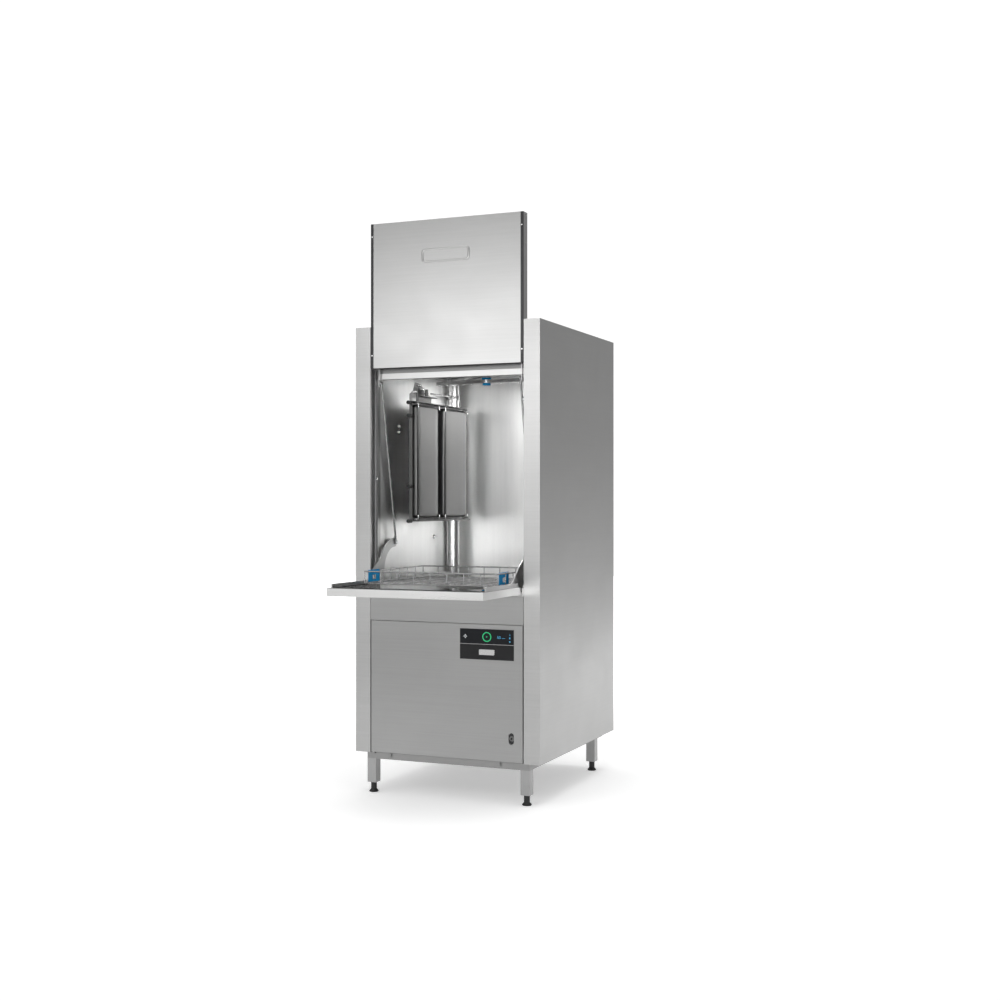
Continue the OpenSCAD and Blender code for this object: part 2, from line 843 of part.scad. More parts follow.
// Rubber seal on the rim and the raised side strips that keep the rack on the shelf
module flap_seal() {
    seal_in = 293;
    seal_w = 6;
    seal_h = 2;
    color([0.06, 0.06, 0.06]) from_front() difference() {
        block([-seal_in - seal_w, rim_front - 14, flap_high],
              [seal_in + seal_w, flap_rear - 2, flap_high + seal_h]);
        block([-seal_in, rim_front - 8, flap_high - 1],
              [seal_in, flap_rear, flap_high + seal_h + 1]);
    }
}

// Gusset and curved lever at each end of the flap, and the guide strip along its side
module flap_levers() {
    band = 36;
    ring_r = lever_pivot[1] - lever_c[1] + band / 2;
    strip_h = 14;
    color("darkgray") from_front() both_sides() union() {
        side_plate(lever_x, lever_x + lever_t) difference() {
            union() {
                intersection() {
                    translate(lever_c) difference() {
                        circle(ring_r, $fn = 96);
                        circle(ring_r - band, $fn = 96);
                    }
                    translate([lever_c[0] - 200, lever_c[1]]) square([200, 200]);
                }
                translate(lever_pivot) circle(band / 2);
                translate([hinge_y, hinge_z]) circle(12.5);
                polygon([
                    [-85, flap_high], [4, 905], [44, 930], [73.2, lever_c[1]], [20, 802],
                    [0, 802], [flap_rear, 806], [flap_rear, flap_high]
                ]);
            }
            translate(lever_pivot) circle(pivot_pin_r);
        }
        block([310, rim_front, flap_high], [315, -26, flap_high + strip_h]);
        block([lever_x + lever_t, -60, flap_high], [310, -26, flap_high + 3]);
    }
}

// Hinge pins of the flap and the pivot pins of the link rods
module flap_pins() {
    color("silver") from_front() both_sides() {
        rod_x(hinge_y, hinge_z, lever_x + lever_t, 326, hinge_pin_r);
        rod_x(lever_pivot[0], lever_pivot[1], 294, lever_x + lever_t, pivot_pin_r);
    }
}

// Link rod from the flap's lever up to the lower edge of the upper door
module link_rod(x) {
    eye_r = 9;
    eye_t = 3;
    color("silver") from_front() difference() {
        union() {
            rod_yz(x, lever_pivot, link_top, link_r);
            rod_x(lever_pivot[0], lever_pivot[1], x - eye_t, x + eye_t, eye_r);
            rod_x(link_top[0], link_top[1], x - eye_t, x + eye_t, 7);
            rod_x(link_top[0], link_top[1], x - 4.2, x + 4.2, 3.5);
        }
        rod_x(lever_pivot[0], lever_pivot[1], x - 10, x + 10, pivot_pin_r + run_gap);
    }
}

module link_rod_left() {
    link_rod(-link_x);
}

module link_rod_right() {
    link_rod(link_x);
}

// ---- rack ----------------------------------------------------------------------------------

// Wire rack: a floor grid, a low fence of posts and a top rail
module wash_rack() {
    rail_r = 3;
    wire_r = 2;
    bays_x = 8;
    bays_y = 7;
    floor_wires_x = 8;
    floor_wires_y = 8;
    top_z = rack_z + rack_h;
    color("gainsboro") from_front() union() {
        for (z = [rack_z, top_z]) {
            r = z == top_z ? rail_r : wire_r + 0.5;
            for (y = [rack_front, rack_back]) rod_x(y, z, -rack_half, rack_half, r);
            for (s = [-1, 1]) rod_y(s * rack_half, z, rack_front, rack_back, r);
            for (s = [-1, 1], y = [rack_front, rack_back])
                translate([s * rack_half, y, z]) sphere(r);
        }
        for (i = [0 : bays_x], y = [rack_front, rack_back])
            rod_z(-rack_half + i * 2 * rack_half / bays_x, y, rack_z, top_z, wire_r);
        for (i = [1 : bays_y - 1], s = [-1, 1])
            rod_z(s * rack_half, rack_front + i * rack_d / bays_y, rack_z, top_z, wire_r);
        for (i = [1 : floor_wires_x - 1])
            rod_y(-rack_half + i * 2 * rack_half / floor_wires_x, rack_z, rack_front, rack_back, wire_r);
        for (i = [1 : floor_wires_y - 1])
            rod_x(rack_front + i * rack_d / floor_wires_y, rack_z, -rack_half, rack_half, wire_r);
    }
}

// Blue plastic clips inside the rack's side fences, with a window
module rack_clips() {
    clip_front = 22;
    clip_l = 88;
    clip_low = rack_z + 4;
    clip_h = 46;
    t = 3;
    color([0.02, 0.38, 0.7]) from_front() both_sides()
        side_plate(rack_half - 3.2 - t, rack_half - 3.2)
            difference() {
                translate([rack_front + clip_front, clip_low]) square([clip_l, clip_h]);
                translate([rack_front + clip_front + 30, clip_low + 8]) square([34, 18]);
            }
}

// ---- service panel and controls ------------------------------------------------------------

panel_left = -323;
panel_low = skin_bottom + 3;
display_back = 24;
display_proud = 1;

// Hinged front panel with ears for its hinge pins and cut-outs for the display and the lock
module service_panel() {
    fold = 15;
    ear_half = 8;
    ear_z = [skin_bottom + 30, panel_top - 30];
    dish_y = 6;
    color("lightgray") from_front() difference() {
        union() {
            block([panel_left, 0, panel_low], [panel_right, skin_t, panel_top]);
            block([panel_right - skin_t, 0, panel_low], [panel_right, fold, panel_top]);
            for (z = ear_z)
                block([panel_left + 1, skin_t - 1, z], [panel_left + 1 + 2 * ear_half, fold, z + 6]);
            front_plate(skin_t - 1, dish_y + skin_t) translate([lock_x, lock_z])
                round_rect(30, 52, 14);
        }
        front_plate(-1, fold + 1) translate([display_x, display_z])
            square([display_w, display_h], center = true);
        front_plate(-1, dish_y) translate([lock_x, lock_z]) round_rect(22, 44, 10.9);
        rod_y(lock_x, lock_z, dish_y - 1, fold, lock_r + run_gap);
        for (z = ear_z)
            rod_z(service_hinge[0], service_hinge[1], z - 1, z + 7, service_pin_r + run_gap);
    }
}

module service_hinge_pins() {
    color("silver") from_front() {
        rod_z(service_hinge[0], service_hinge[1], frame_top, skin_bottom + 40, service_pin_r);
        rod_z(service_hinge[0], service_hinge[1], panel_top - 34, 685, service_pin_r);
    }
}

// Square key lock: a barrel in the slot of the panel with a tongue behind it
module panel_lock() {
    tongue_l = 58;
    color("gray") from_front() {
        difference() {
            rod_y(lock_x, lock_z, 3, 26, lock_r);
            front_plate(2, 14) translate([lock_x, lock_z]) square(7, center = true);
        }
        block([lock_x - 5, 22, lock_z + lock_r - 2], [lock_x + 5, 25, lock_z + tongue_l]);
    }
}

module display_housing() {
    window_h = 54;
    inset = 3;
    hole_gap = 0.6;
    color([0.04, 0.04, 0.05]) from_front() difference() {
        front_plate(-display_proud, display_back) translate([display_x, display_z])
            square([display_w, display_h], center = true);
        front_plate(-display_proud - 1, 1) translate([display_x, display_z + display_h / 4])
            square([display_w - 2 * inset, window_h], center = true);
        front_plate(-display_proud - 1, 12) translate([start_x, start_z]) circle(start_r + 0.6);
        front_plate(-display_proud - 1, 12) translate([power_x, start_z]) circle(power_r + 0.6);
    }
}

module display_glass() {
    window_h = 54;
    inset = 3;
    color([0.02, 0.02, 0.03]) from_front() front_plate(-display_proud, 1) difference() {
        translate([display_x, display_z + display_h / 4])
            square([display_w - 2 * inset, window_h], center = true);
        translate([start_x, start_z]) circle(start_r + 0.6);
        translate([power_x, start_z]) circle(power_r + 0.6);
    }
}

module start_button() {
    color([0.1, 0.75, 0.35]) from_front()
        rod_y(start_x, start_z, -2, 8, start_r);
}

module power_button() {
    color("white") from_front() rod_y(power_x, start_z, -1.8, 8, power_r);
}

chassis_frame();
legs();
levelling_feet();
left_side_panel();
right_side_panel();
rear_panel();
roof_panel();
header_panel();
apron_panel();
chamber_side_walls();
chamber_rear_wall();
chamber_ceiling();
chamber_jambs();
door_guide_rails();
hinge_brackets();
wash_tank();
tank_strainers();
sump_filter();
tank_heater();
rack_rails();
wash_manifold();
lower_arm_bearing();
upper_arm_bearing();
wash_pump();
wash_pump_motor();
suction_hose();
rinse_boiler();
rinse_pump();
drain_pump();
drain_outlet();
water_inlet();
cable_gland();
control_box();
service_hinge_pins();
insert_frame();
insert_trays();
insert_caps();
upper_door_outer_skin();
upper_door_inner_skin();
door_edge_strips();
door_side_rails();
door_glide_blocks();
door_bottom_seal();
flap_outer_shell();
flap_inner_dish();
flap_seal();
flap_levers();
flap_pins();
link_rod_left();
link_rod_right();
wash_rack();
rack_clips();
upper_wash_arm();
lower_wash_arm();
service_panel();
display_housing();
display_glass();
start_button();
power_button();
panel_lock();
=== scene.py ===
import math

import bmesh
import bpy
from mathutils import Matrix, Vector


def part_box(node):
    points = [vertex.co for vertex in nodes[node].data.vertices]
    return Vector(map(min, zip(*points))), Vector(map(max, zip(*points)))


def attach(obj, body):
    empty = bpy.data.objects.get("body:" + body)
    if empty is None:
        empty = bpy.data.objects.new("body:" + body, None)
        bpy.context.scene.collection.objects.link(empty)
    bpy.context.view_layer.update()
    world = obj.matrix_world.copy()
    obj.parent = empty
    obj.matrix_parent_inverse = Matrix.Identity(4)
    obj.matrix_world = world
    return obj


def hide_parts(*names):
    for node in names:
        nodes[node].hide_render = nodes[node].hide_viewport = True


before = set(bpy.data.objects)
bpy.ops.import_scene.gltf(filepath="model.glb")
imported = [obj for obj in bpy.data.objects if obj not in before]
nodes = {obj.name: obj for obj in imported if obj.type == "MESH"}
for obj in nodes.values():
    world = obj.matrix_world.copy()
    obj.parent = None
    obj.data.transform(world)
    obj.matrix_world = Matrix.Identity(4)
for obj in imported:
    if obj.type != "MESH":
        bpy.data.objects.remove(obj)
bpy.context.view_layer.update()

FRONT_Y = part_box("left_side_panel")[0].y  # front plane of the cabinet
MM = 0.001


# ---- outlines and skins --------------------------------------------------------------------

def circle(r, steps):
    turns = (2 * math.pi * i / steps for i in range(steps))
    return [(r * math.cos(a), r * math.sin(a)) for a in turns]


def loop(bm, outline, at, lift=0.0):
    """The corners of an outline of (x, y) points, lifted along its own +Z."""
    return [bm.verts.new(at @ Vector((x, y, lift))) for x, y in outline]


def bridge(bm, loops):
    """Joins each loop of corners to the next one."""
    for one, two in zip(loops, loops[1:]):
        for i in range(len(one)):
            j = (i + 1) % len(one)
            bm.faces.new((one[i], one[j], two[j], two[i]))


# ---- camera, light and floor ---------------------------------------------------------------

CAMERA_PLACE = (2.2799, -5.1014, 1.1515)
CAMERA_TURN = math.radians(22.95)
LENS_MM = 49.8


def set_camera():
    data = bpy.data.cameras.new("camera")
    data.lens = LENS_MM
    data.sensor_width = 36.0
    data.shift_y = 0.0018
    data.clip_end = 100.0
    cam = bpy.data.objects.new("camera", data)
    cam.location = CAMERA_PLACE
    cam.rotation_euler = (math.radians(90), 0, CAMERA_TURN)
    bpy.context.scene.collection.objects.link(cam)
    bpy.context.scene.camera = cam


def area_light(name, place, target, size, power, spread=180):
    data = bpy.data.lights.new(name, "AREA")
    data.shape = "RECTANGLE"
    data.size, data.size_y = size
    data.energy = power
    data.spread = math.radians(spread)
    light = bpy.data.objects.new(name, data)
    light.location = place
    light.visible_camera = False
    light.rotation_euler = (Vector(target) - Vector(place)).to_track_quat("-Z", "Y").to_euler()
    bpy.context.scene.collection.objects.link(light)


class Ramp:
    """Builds smooth falloffs from dot products, for the sky and the floor."""

    def __init__(self, tree, output):
        self.tree = tree
        self.coord = tree.nodes.new("ShaderNodeTexCoord").outputs[output]

    def along(self, axis):
        node = self.tree.nodes.new("ShaderNodeVectorMath")
        node.operation = "DOT_PRODUCT"
        node.inputs[1].default_value = axis
        self.tree.links.new(self.coord, node.inputs[0])
        return node.outputs["Value"]

    def step(self, value, start, end, low, high):
        node = self.tree.nodes.new("ShaderNodeMapRange")
        node.interpolation_type = "SMOOTHSTEP"
        for key, number in (("From Min", start), ("From Max", end), ("To Min", low),
                            ("To Max", high)):
            node.inputs[key].default_value = number
        self.tree.links.new(value, node.inputs["Value"])
        return node.outputs[0]

    def math(self, op, a, b):
        node = self.tree.nodes.new("ShaderNodeMath")
        node.operation = op
        self.tree.links.new(a, node.inputs[0])
        self.tree.links.new(b, node.inputs[1])
        return node.outputs[0]


AWAY = Vector((-0.39, 0.921, 0.0))   # the way the camera looks
ASIDE = Vector((0.921, 0.39, 0.0))
UP = Vector((0, 0, 1))
WINDOW = Vector((-0.50, -0.85, 0.16)).normalized()   # a soft window to the left of the camera
PAPER_GLOW = 1.06   # white paper, just past the render's white
SKY_BASE = 0.30
SKY_TOP = 0.60
SKY_WINDOW = 0.25
FLOOR_GLOW = 0.36


def set_world():
    """A studio: a white backdrop behind the machine, a soft ceiling, dimmer walls elsewhere."""
    world = bpy.data.worlds.new("studio")
    world.use_nodes = True
    tree = world.node_tree
    ramp = Ramp(tree, "Generated")
    backdrop = ramp.step(ramp.along(AWAY), 0.79, 0.88, SKY_BASE, PAPER_GLOW)
    ceiling = ramp.step(ramp.along(UP), 0.25, 1.0, 0.0, SKY_TOP)
    window = ramp.step(ramp.along(WINDOW), 0.80, 0.99, 0.0, SKY_WINDOW)
    total = ramp.math("ADD", ramp.math("ADD", backdrop, ceiling), window)
    tree.links.new(total, tree.nodes["Background"].inputs["Strength"])
    tree.nodes["Background"].inputs["Color"].default_value = (1, 1, 1, 1)
    bpy.context.scene.world = world


def set_floor():
    """Pale paper: it glows from a little before the machine, more behind it, less to its right."""
    mesh = bpy.data.meshes.new("floor")
    half = 60.0
    mesh.from_pydata([(-half, -half, 0), (half, -half, 0), (half, half, 0), (-half, half, 0)],
                     [], [(0, 1, 2, 3)])
    floor = bpy.data.objects.new("floor", mesh)
    bpy.context.scene.collection.objects.link(floor)
    mat = bpy.data.materials.new("floor_paper")
    mat.use_nodes = True
    shader = mat.node_tree.nodes["Principled BSDF"]
    ramp = Ramp(mat.node_tree, "Object")
    away = ramp.along(AWAY)
    near = ramp.math("ADD", ramp.step(away, -2.9, -2.2, 0.0, FLOOR_GLOW),
                     ramp.step(away, 1.2, 3.0, 0.0, 1.0 - FLOOR_GLOW))
    side = ramp.step(ramp.along(ASIDE - 0.36 * AWAY), 2.2, 3.4, 1.0, 0.1)
    mat.node_tree.links.new(ramp.math("MULTIPLY", near, side),
                            shader.inputs["Emission Strength"])
    shader.inputs["Base Color"].default_value = (0.86, 0.86, 0.86, 1)
    shader.inputs["Roughness"].default_value = 0.9
    shader.inputs["Specular IOR Level"].default_value = 0.1
    shader.inputs["Emission Color"].default_value = (1, 1, 1, 1)
    mesh.materials.append(mat)


def set_backdrop():
    """White paper round the far edge of the floor. It is only seen, and lights nothing."""
    radius, height, sides = 16.0, 12.0, 96
    bm = bmesh.new()
    edge = circle(radius, sides)
    bridge(bm, [loop(bm, edge, Matrix(), z) for z in (0.0, height)])
    mesh = bpy.data.meshes.new("backdrop")
    bm.to_mesh(mesh)
    bm.free()
    paper = bpy.data.objects.new("backdrop", mesh)
    bpy.context.scene.collection.objects.link(paper)
    paper.visible_diffuse = paper.visible_glossy = paper.visible_shadow = False
    mat = bpy.data.materials.new("backdrop_paper")
    mat.use_nodes = True
    shader = mat.node_tree.nodes["Principled BSDF"]
    shader.inputs["Base Color"].default_value = (0, 0, 0, 1)
    shader.inputs["Specular IOR Level"].default_value = 0.0
    shader.inputs["Emission Color"].default_value = (1, 1, 1, 1)
    shader.inputs["Emission Strength"].default_value = PAPER_GLOW
    mesh.materials.append(mat)


set_camera()
set_world()
set_floor()
set_backdrop()
area_light("softbox", (-0.80, -2.7, 1.97), (-0.20, -0.2, 1.80), (1.7, 0.9), 11.5)
area_light("overhead", (0.3, 0.2, 4.6), (0, 0.1, 0.8), (3.0, 3.0), 68)
area_light("chamber_front", (0.95, -3.0, 1.30), (-0.05, 0.3, 1.30), (1.0, 1.5), 3.0, spread=40)
area_light("flap_strip", (-1.05, -2.7, 0.90), (0.0, -0.3, 0.85), (1.2, 0.25), 0.08, spread=30)
area_light("chamber_top", (0.10, 0.10, 1.60), (0.02, 0.30, 0.9), (0.30, 0.30), 3.0)
view = bpy.context.scene.view_settings
view.view_transform = "Standard"
view.look = "None"


# ---- materials -----------------------------------------------------------------------------

class Nodes:
    """Short ways to build a node tree round the Principled shader."""

    def __init__(self, name):
        self.mat = bpy.data.materials.new(name)
        self.mat.use_nodes = True
        self.tree = self.mat.node_tree
        self.shader = self.tree.nodes["Principled BSDF"]
        self.coord = self.tree.nodes.new("ShaderNodeTexCoord").outputs["Object"]

    def noise(self, scale, detail=3.0, rough=0.55, warp=0.0, seed=0.0):
        mapping = self.tree.nodes.new("ShaderNodeMapping")
        mapping.inputs["Scale"].default_value = scale
        mapping.inputs["Location"].default_value = (seed, seed * 0.7, seed * 1.3)
        self.tree.links.new(self.coord, mapping.inputs["Vector"])
        tex = self.tree.nodes.new("ShaderNodeTexNoise")
        tex.inputs["Scale"].default_value = 1.0
        tex.inputs["Detail"].default_value = detail
        tex.inputs["Roughness"].default_value = rough
        tex.inputs["Distortion"].default_value = warp
        self.tree.links.new(mapping.outputs[0], tex.inputs["Vector"])
        return tex.outputs["Fac"]

    def span(self, value, low, high, start=0.3, end=0.7):
        node = self.tree.nodes.new("ShaderNodeMapRange")
        node.inputs["From Min"].default_value = start
        node.inputs["From Max"].default_value = end
        node.inputs["To Min"].default_value = low
        node.inputs["To Max"].default_value = high
        self.tree.links.new(value, node.inputs["Value"])
        return node.outputs[0]

    def math(self, op, a, b):
        node = self.tree.nodes.new("ShaderNodeMath")
        node.operation = op
        for socket, value in zip(node.inputs, (a, b)):
            if isinstance(value, (int, float)):
                socket.default_value = value
            else:
                self.tree.links.new(value, socket)
        return node.outputs[0]

    def shade(self, colour, value):
        """colour scaled by a value near 1."""
        node = self.tree.nodes.new("ShaderNodeVectorMath")
        node.operation = "SCALE"
        node.inputs[0].default_value = colour
        self.tree.links.new(value, node.inputs["Scale"])
        return node.outputs[0]

    def bump(self, value, strength, distance):
        node = self.tree.nodes.new("ShaderNodeBump")
        node.inputs["Strength"].default_value = strength
        node.inputs["Distance"].default_value = distance
        self.tree.links.new(value, node.inputs["Height"])
        self.tree.links.new(node.outputs[0], self.shader.inputs["Normal"])

    def set(self, name, value):
        socket = self.shader.inputs[name]
        if isinstance(value, (int, float, tuple)):
            socket.default_value = value
        else:
            self.tree.links.new(value, socket)


def grain_scale(along, fine, coarse):
    return tuple(coarse if axis in along else fine for axis in "xyz")


def brushed(name, colour, rough, along, marks=0.05):
    """Brushed steel with its grain along the named axes, worn and wiped unevenly."""
    depth, fine = 0.55, 1400.0   # how deep the grain looks, and its scale across the grain
    n = Nodes(name)
    grain = n.noise(grain_scale(along, fine, 7.0), detail=2.0, rough=0.7)
    streak = n.noise(grain_scale(along, 190.0, 2.2), detail=3.0, rough=0.5, seed=3.0)
    cloud = n.noise((3.1, 3.1, 3.1), detail=4.0, rough=0.55, warp=0.4, seed=7.0)
    wiped = n.noise((5.0, 5.0, 7.0), detail=3.0, rough=0.6, warp=0.3, seed=11.0)
    value = n.math("ADD", n.span(grain, -0.045 * depth, 0.045 * depth),
                   n.span(streak, 1 - 0.05 * depth, 1 + 0.04 * depth))
    value = n.math("ADD", value, n.span(cloud, -marks * 0.6, marks * 0.4))
    n.set("Base Color", n.shade(colour, value))
    r = n.math("ADD", n.span(grain, -0.015, 0.015),
               n.span(wiped, rough - marks * 0.5, rough + marks * 0.5))
    r = n.math("ADD", r, n.span(streak, -0.015, 0.015))
    n.set("Roughness", r)
    n.set("Metallic", 1.0)
    n.bump(n.math("ADD", grain, n.math("MULTIPLY", streak, 0.15)), 0.04 * depth, 0.0002)
    return n.mat


def washed(name, colour, rough):
    """Sheet steel inside the chamber: smoother, with dried runs and drops of water."""
    n = Nodes(name)
    runs = n.noise((46.0, 46.0, 2.5), detail=4.0, rough=0.6, seed=2.0)
    drops = n.noise((240.0, 240.0, 240.0), detail=2.0, rough=0.5, seed=5.0)
    cloud = n.noise((4.0, 4.0, 3.0), detail=3.0, rough=0.5, warp=0.5, seed=9.0)
    grain = n.noise((9.0, 9.0, 1500.0), detail=2.0, rough=0.6, seed=4.0)
    value = n.math("ADD", n.span(runs, 0.96, 1.03), n.span(cloud, -0.03, 0.03))
    value = n.math("ADD", value, n.span(drops, 0.0, -0.10, 0.66, 0.74))
    n.set("Base Color", n.shade(colour, value))
    r = n.math("ADD", n.span(runs, rough - 0.02, rough + 0.05), n.span(cloud, -0.02, 0.03))
    r = n.math("ADD", r, n.span(drops, 0.0, 0.15, 0.64, 0.74))
    n.set("Roughness", r)
    n.set("Metallic", 1.0)
    n.bump(n.math("ADD", n.math("MULTIPLY", grain, 0.5), cloud), 0.10, 0.0006)
    return n.mat


def tube_steel(name, colour, rough):
    """Drawn tube and bent wire: fine lines along the length and faint tarnish."""
    n = Nodes(name)
    tarnish = n.noise((22.0, 22.0, 22.0), detail=4.0, rough=0.6, seed=1.0)
    fine = n.noise((700.0, 700.0, 700.0), detail=2.0, seed=6.0)
    n.set("Base Color", n.shade(colour, n.span(tarnish, 0.9, 1.05)))
    n.set("Roughness", n.math("ADD", n.span(tarnish, rough + 0.06, rough - 0.03),
                              n.span(fine, -0.02, 0.03)))
    n.set("Metallic", 1.0)
    n.bump(fine, 0.08, 0.0002)
    return n.mat


def plastic(name, colour, rough, grit=900.0, depth=0.2, gloss=0.5, spread=0.08):
    """Moulded plastic or rubber with a fine leather-like skin."""
    n = Nodes(name)
    skin = n.noise((grit, grit, grit), detail=3.0, rough=0.6)
    worn = n.noise((18.0, 18.0, 18.0), detail=4.0, rough=0.6, seed=4.0)
    n.set("Base Color", n.shade(colour, n.math(
        "ADD", n.span(worn, 1 - spread, 1 + spread), n.span(skin, -0.04, 0.04))))
    n.set("Roughness", n.math("ADD", n.span(worn, rough - 0.05, rough + 0.06),
                              n.span(skin, -0.03, 0.03)))
    n.set("Specular IOR Level", gloss)
    n.bump(skin, depth, 0.0003)
    return n.mat


def cast(name, colour, rough):
    """Cast or die-cast metal housing with a pebbled surface."""
    n = Nodes(name)
    pebble = n.noise((420.0, 420.0, 420.0), detail=4.0, rough=0.65)
    dirt = n.noise((11.0, 11.0, 11.0), detail=4.0, rough=0.6, seed=8.0)
    n.set("Base Color", n.shade(colour, n.math(
        "ADD", n.span(dirt, 0.82, 1.06), n.span(pebble, -0.06, 0.06))))
    n.set("Roughness", n.span(dirt, rough + 0.08, rough - 0.06))
    n.set("Metallic", 0.9)
    n.bump(pebble, 0.35, 0.0006)
    return n.mat


def screen_glass(name):
    n = Nodes(name)
    smudge = n.noise((30.0, 30.0, 30.0), detail=4.0, rough=0.65, warp=1.0)
    n.set("Base Color", n.shade((0.010, 0.011, 0.013), n.span(smudge, 0.9, 1.1)))
    n.set("Roughness", n.span(smudge, 0.09, 0.2))
    n.set("Specular IOR Level", 0.2)
    n.bump(smudge, 0.02, 0.0003)
    return n.mat


def lit(name, colour, glow):
    """A lit sign behind the display's surface."""
    n = Nodes(name)
    uneven = n.noise((160.0, 160.0, 160.0), detail=2.0)
    n.set("Base Color", n.shade(colour, n.span(uneven, 0.92, 1.06)))
    n.set("Roughness", 0.35)
    n.set("Emission Color", (*colour, 1.0))
    n.set("Emission Strength", glow)
    n.bump(uneven, 0.03, 0.0002)
    return n.mat


STEEL = (0.46, 0.46, 0.457)
MATS = {
    "sheet_x": brushed("sheet_x", STEEL, 0.36, "x"),
    "sheet_xy": brushed("sheet_xy", STEEL, 0.38, "xy"),
    "sheet_z": brushed("sheet_z", STEEL, 0.34, "z"),
    "frame": brushed("frame_steel", (0.42, 0.42, 0.42), 0.38, "x", marks=0.07),
    "flap": brushed("flap_sheet", (0.62, 0.62, 0.615), 0.30, "x"),
    # legs: a darker copy of the steel, painted shade for the legs standing in shadow under the
    # cabinet
    "leg": brushed("leg_steel_painted_shade", (0.38, 0.38, 0.38), 0.36, "z", marks=0.06),
    "chamber": washed("chamber_steel", (0.74, 0.74, 0.735), 0.36),
    # insert pans and frame: nearly black steel, painted shade for the pans' sides turned away from
    # the light
    "tray": washed("tray_steel_painted_shade", (0.095, 0.095, 0.094), 0.34),
    # a dark strip under the door: painted shade, standing in for the door's shadow on the header
    "shade_strip": brushed("painted_shade_sheet", (0.18, 0.18, 0.179), 0.36, "x"),
    # flap's inner dish: a darker copy of the steel, a painted dark reflection of the chamber
    "dish": brushed("dish_steel_painted_reflection", (0.26, 0.26, 0.258), 0.26, "x"),
    # service panel and apron: a darker copy of the steel, painted shade for the shadow under the
    # flap and the dimmer lower front
    "panel": brushed("panel_sheet_painted_shade", (0.35, 0.35, 0.348), 0.34, "x"),
    # chassis, its clips and the insert's gusset: a darker copy of the steel, painted shade for the
    # occlusion under the service panel
    "base": brushed("base_sheet_painted_shade", (0.30, 0.30, 0.298), 0.40, "x"),
    "lintel": brushed("lintel_sheet", (0.46, 0.46, 0.457), 0.34, "x"),
    "lock": tube_steel("lock_steel", (0.16, 0.16, 0.16), 0.34),
    "tube": tube_steel("tube_steel", (0.60, 0.60, 0.60), 0.22),
    "wire": tube_steel("wire_steel", (0.34, 0.34, 0.34), 0.24),
    "bright": tube_steel("bright_steel", (0.74, 0.74, 0.74), 0.14),
    "heater": tube_steel("heater_alloy", (0.26, 0.25, 0.24), 0.42),
    "black": plastic("black_plastic", (0.016, 0.016, 0.018), 0.42),
    "foot": plastic("foot_plastic", (0.012, 0.012, 0.013), 0.5, grit=600.0, depth=0.3),
    "rubber": plastic("black_rubber", (0.014, 0.014, 0.014), 0.62, grit=500.0, depth=0.35),
    "blue": plastic("blue_plastic", (0.002, 0.21, 0.46), 0.55, grit=800.0, gloss=0.2),
    "ivory": plastic("ivory_plastic", (0.70, 0.68, 0.62), 0.5, spread=0.04),
    "pump": plastic("pump_plastic", (0.03, 0.03, 0.034), 0.46, grit=500.0, depth=0.3),
    "cast": cast("cast_aluminium", (0.42, 0.43, 0.45), 0.46),
    "brass": tube_steel("brass", (0.70, 0.50, 0.20), 0.26),
    "glass": screen_glass("display_glass_mat"),
    "housing": plastic("housing_plastic", (0.010, 0.010, 0.011), 0.34, grit=1200.0, depth=0.08,
                       gloss=0.25, spread=0.05),
    "green": lit("lit_green", (0.01, 0.36, 0.13), 0.6),
    "white": lit("lit_white", (0.62, 0.64, 0.66), 0.5),
    "cyan": lit("lit_blue", (0.05, 0.30, 0.52), 0.6),
}

NODE_MATS = {
    "chassis_frame": "base", "legs": "leg", "levelling_feet": "foot",
    "left_side_panel": "sheet_xy", "right_side_panel": "sheet_xy", "rear_panel": "sheet_x",
    "roof_panel": "sheet_x", "header_panel": "lintel", "apron_panel": "panel",
    "chamber_side_walls": "chamber", "chamber_rear_wall": "chamber",
    "chamber_ceiling": "chamber", "chamber_jambs": "sheet_z", "door_guide_rails": "frame",
    "hinge_brackets": "frame", "wash_tank": "chamber", "tank_strainers": "chamber",
    "sump_filter": "chamber", "tank_heater": "heater", "rack_rails": "frame",
    "wash_manifold": "tube", "lower_arm_bearing": "blue", "upper_arm_bearing": "blue",
    "wash_pump": "pump", "wash_pump_motor": "cast", "suction_hose": "rubber",
    "rinse_boiler": "tube", "rinse_pump": "cast", "drain_pump": "pump",
    "drain_outlet": "pump", "water_inlet": "brass", "cable_gland": "black",
    "control_box": "frame", "service_hinge_pins": "bright", "insert_frame": "tray",
    "insert_trays": "tray", "insert_caps": "rubber", "upper_door_outer_skin": "sheet_x",
    "upper_door_inner_skin": "chamber", "door_edge_strips": "black",
    "door_side_rails": "frame", "door_glide_blocks": "ivory", "door_bottom_seal": "rubber",
    "flap_outer_shell": "flap", "flap_inner_dish": "dish", "flap_seal": "rubber",
    "flap_levers": "frame", "flap_pins": "bright", "link_rod_left": "wire",
    "link_rod_right": "wire", "wash_rack": "wire", "rack_clips": "blue",
    "upper_wash_arm": "tube", "lower_wash_arm": "tube", "service_panel": "panel",
    "display_housing": "housing", "display_glass": "glass", "start_button": "glass",
    "power_button": "glass", "panel_lock": "lock",
}

EDGE_MM = {
    "left_side_panel": 1.0, "right_side_panel": 1.0, "roof_panel": 0.8, "rear_panel": 0.8,
    "header_panel": 0.5, "apron_panel": 0.8, "service_panel": 0.8, "flap_outer_shell": 2.0,
    "upper_door_outer_skin": 0.5, "legs": 1.5, "chassis_frame": 1.2, "control_box": 1.0,
    "rack_clips": 1.0, "insert_frame": 0.5, "flap_levers": 0.6,
    "door_glide_blocks": 1.0, "hinge_brackets": 0.8, "upper_wash_arm": 2.0,
    "lower_wash_arm": 2.0, "rack_rails": 0.6, "door_edge_strips": 0.4, "flap_inner_dish": 0.4,
    "display_housing": 0.5, "panel_lock": 0.4,
}


